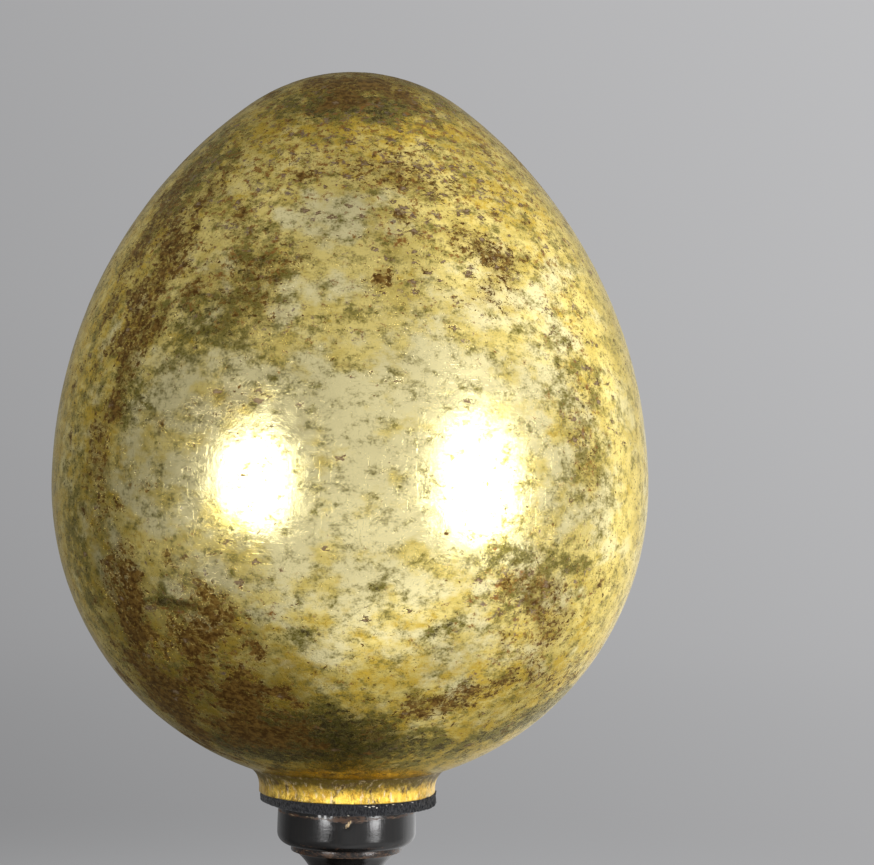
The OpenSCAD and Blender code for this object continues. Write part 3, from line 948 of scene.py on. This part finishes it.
def bare_wood(name, pale, dark, pores):
    """Unfinished turned wood, sanded: matt, with soft growth rings and pores that run up it."""
    material, tree, shader, place = start(name)
    rings = add(
        tree,
        "TexWave",
        {"Vector": place, "Scale": 1 / (9 * MM), "Distortion": 3.0, "Detail": 3.0, "Detail Scale": 0.02},
        wave_type="BANDS",
        bands_direction="X",
    )
    tone = add(tree, "MapRange", {"Value": rings.outputs["Fac"], "To Max": 0.7}).outputs[0]
    fine = speckle(tree, place, pores * MM, 0.52, 0.66, (1, 1, 0.08), 4, 0.65)
    colour = linear(pale)
    for mask in (tone, fine):
        layer = add(tree, "Mix", {FACTOR: mask, FIRST: colour, SECOND: linear(dark)}, data_type="RGBA")
        colour = layer.outputs[RESULT]
    rough = add(tree, "MapRange", {"Value": fine, "To Min": 0.55, "To Max": 0.75}).outputs[0]
    surface = add(tree, "Bump", {"Strength": 1.0, "Distance": 0.05 * MM, "Height": fine}, invert=True)
    feed(tree, shader, {"Base Color": colour, "Roughness": rough, "Normal": surface.outputs[0]})
    return material


def metal(name, colour, stained, roughness, grain, stretch, depth):
    """Bright, plated or cast metal, its marks one grain apart and stretched the way it was worked."""
    material, tree, shader, place = start(name)
    marks = speckle(tree, place, grain * MM, 0.35, 0.68, stretch, 5, 0.65)
    tarnish = speckle(tree, place, 9 * MM, 0.48, 0.70, (1, 1, 1), 6, 0.7)
    terms = {0: marks, 1: 0.25, 2: tarnish}
    mottled = add(tree, "Math", terms, operation="MULTIPLY_ADD", use_clamp=True).outputs[0]
    colours = {FACTOR: mottled, FIRST: linear(colour), SECOND: linear(stained)}
    tint = add(tree, "Mix", colours, data_type="RGBA").outputs[RESULT]
    shader.inputs["Metallic"].default_value = 1.0
    ends = {"Value": mottled, "To Min": roughness, "To Max": roughness + 0.2}
    rough = add(tree, "MapRange", ends).outputs[0]
    surface = add(tree, "Bump", {"Strength": 1.0, "Distance": depth * MM, "Height": marks})
    feed(tree, shader, {"Base Color": tint, "Roughness": rough, "Normal": surface.outputs[0]})
    return material


def green_baize():
    """Napped woollen cloth, felted so that its weave hardly shows: matt, with a soft sheen."""
    material, tree, shader, place = start("green_baize")
    nap = speckle(tree, place, 0.8 * MM, 0.35, 0.68, (1, 1, 1), 5, 0.75)
    press = speckle(tree, place, 12 * MM, 0.40, 0.62, (1, 1, 1), 4, 0.6)
    colour = linear("#123A24")
    for mask, over in ((nap, "#2B5C3C"), (press, "#1A4730")):
        layer = add(tree, "Mix", {FACTOR: mask, FIRST: colour, SECOND: linear(over)}, data_type="RGBA")
        colour = layer.outputs[RESULT]
    shader.inputs["Roughness"].default_value = 0.95
    shader.inputs["Sheen Weight"].default_value = 0.4
    surface = add(tree, "Bump", {"Strength": 1.0, "Distance": 0.2 * MM, "Height": nap})
    feed(tree, shader, {"Base Color": colour, "Normal": surface.outputs[0]})
    return material


def dried_glue():
    """Old white glue: pale, slightly yellowed, with a skin that shines a little."""
    material, tree, shader, place = start("dried_glue")
    dust = speckle(tree, place, 0.6 * MM, 0.42, 0.66, (1, 1, 1), 4, 0.7)
    colours = {FACTOR: dust, FIRST: linear("#D9D6CC"), SECOND: linear("#A39E90")}
    colour = add(tree, "Mix", colours, data_type="RGBA").outputs[RESULT]
    rough = add(tree, "MapRange", {"Value": dust, "To Min": 0.35, "To Max": 0.7}).outputs[0]
    feed(tree, shader, {"Base Color": colour, "Roughness": rough})
    return material


# --------------------------------------------
# The stage
# --------------------------------------------


def backdrop():
    """A pale floor that sweeps up into a plain grey dome, seen by the camera only where it is far off."""
    deselect()
    floor_r, sweep_r = 3.0, 2.0
    outline = [(0.5, 0), (1.5, 0), (floor_r, 0)] + arc((floor_r, sweep_r), sweep_r, -90, 0, 12)
    outline += arc((0, sweep_r), floor_r + sweep_r, 10, 80, 8)
    radius, height = outline[0]
    bpy.ops.mesh.primitive_circle_add(vertices=96, radius=radius, fill_type="TRIFAN")
    sweep = bpy.context.object
    sweep.name = "studio_sweep"
    pick(sweep, lambda p: np.hypot(p[:, 0], p[:, 1]) > radius / 2)
    draw_out(outline)
    bpy.ops.mesh.merge(type="CENTER")
    bpy.ops.object.mode_set(mode="OBJECT")
    bpy.ops.object.shade_smooth()
    sweep.visible_glossy = False
    sweep.visible_diffuse = False
    sweep.visible_shadow = False

    material, tree, shader, place = start("studio_paper")
    shader.inputs["Base Color"].default_value = linear("#C8C9CB")
    shader.inputs["Roughness"].default_value = 0.9
    parts = add(tree, "SeparateXYZ", {0: place})
    flat = add(tree, "VectorMath", {0: place, 1: (1, 1, 0)}, operation="MULTIPLY")
    away = add(tree, "VectorMath", {0: flat.outputs[0]}, operation="LENGTH")
    ends = {"Value": away.outputs["Value"], "From Min": 0.3, "From Max": 1.3}
    far = add(tree, "MapRange", ends, interpolation_type="SMOOTHSTEP")
    # Brighter towards the right and with distance, where the light behind the object reaches it
    depth = add(tree, "Math", {0: away.outputs["Value"], 1: 1.0}, operation="ADD").outputs[0]
    sideways = add(tree, "Math", {0: parts.outputs["X"], 1: depth}, operation="DIVIDE").outputs[0]
    ends = {"Value": away.outputs["Value"], "From Min": 1.0, "From Max": 4.5}
    ends |= {"To Min": 0.318, "To Max": 0.40}
    farther = add(tree, "MapRange", ends).outputs[0]
    rightward = add(tree, "Math", {0: sideways, 1: 0.36, 2: farther}, operation="MULTIPLY_ADD").outputs[0]
    terms = {0: parts.outputs["Z"], 1: 0.03, 2: rightward}
    upward = add(tree, "Math", terms, operation="MULTIPLY_ADD")
    paper = add(tree, "Emission", {"Color": linear("#FDFDFF"), "Strength": upward.outputs[0]})
    mixed = add(tree, "MixShader", {0: far.outputs[0], 1: shader.outputs[0], 2: paper.outputs[0]})
    feed(tree, tree.get_output_node("ALL"), {"Surface": mixed.outputs[0]})
    sweep.data.materials.append(material)


def softbox(name, at, aim, width, height, strength):
    """A rectangular softbox that faces a point."""
    light = bpy.data.lights.new(name, "AREA")
    light.shape = "RECTANGLE"
    light.size, light.size_y = width, height
    light.energy = strength
    box = bpy.data.objects.new(name, light)
    bpy.context.scene.collection.objects.link(box)
    box.location = at
    box.rotation_euler = (Vector(aim) - Vector(at)).to_track_quat("-Z", "Y").to_euler()
    box.visible_camera = False


# Where the room glows: a direction, the cosines where the glow starts and where it is full, and how
# bright it is. White walls stand in front and to the right, and a lit sweep behind.
ROOM_GLOWS = [
    ((0.05, -1, 0.0), 0.20, 0.75, 0.24),
    ((0.18, -0.98, 0.05), 0.84, 0.99, 0.34),
    ((0.05, -0.45, 0.9), 0.55, 0.95, 0.32),
    ((0.10, -0.8, -0.6), 0.75, 0.98, 0.35),
    ((0.45, -0.30, -0.85), 0.70, 0.95, 0.52),
    ((0.95, -0.15, 0.1), 0.40, 0.92, 0.66),
    ((0.64, 0.26, 0.72), 0.68, 0.95, 0.66),
    ((-0.95, -0.2, 0.1), 0.65, 0.95, 0.12),
    ((-0.68, -0.40, -0.55), 0.66, 0.95, 0.16),
    ((-0.75, -0.10, 0.60), 0.70, 0.95, 0.12),
    ((-0.50, 0.45, 0.70), 0.60, 0.95, 0.22),
    ((0.50, 0.62, -0.52), 0.66, 0.95, 0.42),
    ((0.60, 0.80, 0.0), 0.75, 0.97, 0.60),
    ((-0.6, 0.8, 0.0), 0.82, 0.99, 0.16),
]


def studio():
    """Two softboxes in front, left and right, in a dim room with a lit grey backdrop behind."""
    centre = (0, 0, WAIST)
    softbox("left_softbox", (-1.22, -1.74, WAIST - 0.01), centre, 0.55, 0.66, 18)
    softbox("right_softbox", (1.56, -1.43, WAIST - 0.01), centre, 0.58, 0.84, 24)
    world = bpy.data.worlds.new("studio_room")
    bpy.context.scene.world = world
    world.use_nodes = True
    tree = world.node_tree
    tree.nodes.clear()
    way = add(tree, "TexCoord").outputs["Generated"]
    # The unlit room's own brightness comes first
    level = 0.13
    for towards, wide, full, glow in ROOM_GLOWS:
        aim = Vector(towards).normalized()
        facing = add(tree, "VectorMath", {0: way, 1: aim}, operation="DOT_PRODUCT")
        ends = {"Value": facing.outputs["Value"], "From Min": wide, "From Max": full, "To Max": glow}
        lit = add(tree, "MapRange", ends, interpolation_type="SMOOTHSTEP")
        level = add(tree, "Math", {0: lit.outputs[0], 1: level}).outputs[0]
    glow = add(tree, "Background", {"Color": (1, 1, 1, 1), "Strength": level})
    add(tree, "OutputWorld", {"Surface": glow.outputs[0]})


def camera():
    """At the egg's height, a metre away, looking a little to the right of it, and tipped by a degree."""
    data = bpy.data.cameras.new("camera")
    data.sensor_width = 36
    data.lens = 99.6
    eye = bpy.data.objects.new("camera", data)
    bpy.context.scene.collection.objects.link(eye)
    eye.location = (0, -1.063, WAIST + 0.0228)
    pan, tilt, roll = math.radians(-1.977), math.radians(90.096), math.radians(1.0)
    aim = Matrix.Rotation(pan, 4, "Z") @ Matrix.Rotation(tilt, 4, "X")
    eye.rotation_euler = (aim @ Matrix.Rotation(roll, 4, "Z")).to_euler()
    bpy.context.scene.camera = eye


# --------------------------------------------
# The whole object
# --------------------------------------------

camera()
backdrop()
studio()
bpy.context.scene.view_settings.view_transform = "Standard"

gilding = water_gilding()
limewood = bare_wood("sawn_limewood", "#D9C29A", "#B8976A", 1.2)
beech = bare_wood("planed_beech", "#CFA678", "#A87B4E", 0.8)
ebony = ebonised_wood()
felt = pressed_felt()
zinc = metal("zinc_plated_steel", "#C4C6C8", "#9FA09C", 0.28, 0.5, (1, 1, 1), 0.01)
brass = metal("drawn_brass", "#D9B56A", "#9C7A3C", 0.22, 0.4, (1, 1, 0.05), 0.01)
iron = metal("oiled_cast_iron", "#4A4A4C", "#2E2A26", 0.45, 0.9, (1, 1, 1), 0.12)
steel = metal("bright_steel", "#B8BABC", "#8C8A86", 0.25, 0.4, (1, 1, 1), 0.01)

# Each made piece: the CAD node it stands for, its body and its finishes
MADE = [
    (half_egg("gilded_crown", True, crown_lining()), "upper_shell", "finial", [gilding, limewood]),
    (half_egg("gilded_bowl", False, bowl_lining()), "lower_shell", "finial", [gilding, limewood]),
    (gilded_neck(), "neck_collar", "finial", [oil_gilding()]),
    (felt_ring(), "felt_washer", "finial", [felt]),
    (ebonised_cap(), "stand_cap", "stand", [ebony]),
    (eased("column", "ebonised_column", 0.35 * MM), "column", "stand", [ebony]),
    (eased("base", "ebonised_base", 0.5 * MM), "base", "stand", [ebony]),
    (eased("head_nut", "sunk_head_nut", 0.3 * MM), "head_nut", "stand", [zinc]),
    (eased("base_nut", "sunk_base_nut", 0.3 * MM), "base_nut", "stand", [zinc]),
    (eased("rod_sleeve", "brass_sleeve", 0.3 * MM), "rod_sleeve", "sleeve", [brass]),
    (eased("ballast_plate", "iron_ballast", 0.6 * MM), "ballast_plate", "stand", [iron]),
    (baize_sheet(), "baize_disc", "stand", [green_baize()]),
]
for piece, node, body, finishes in MADE:
    piece.data.materials.clear()
    for finish in finishes:
        piece.data.materials.append(finish)
    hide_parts(node)
    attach(piece, body)

specks = glue_specks()
specks.data.materials.append(dried_glue())
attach(specks, "finial")

# The pieces whose CAD shape is already the finished one
FINISHES = {
    "joint_dowels": beech,
    "socket_block": limewood,
    "mounting_rod": zinc,
    "head_washer": zinc,
    "base_washer": zinc,
    "ballast_screws": steel,
}
for node, finish in FINISHES.items():
    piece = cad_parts[node]
    piece.data.materials.clear()
    piece.data.materials.append(finish)

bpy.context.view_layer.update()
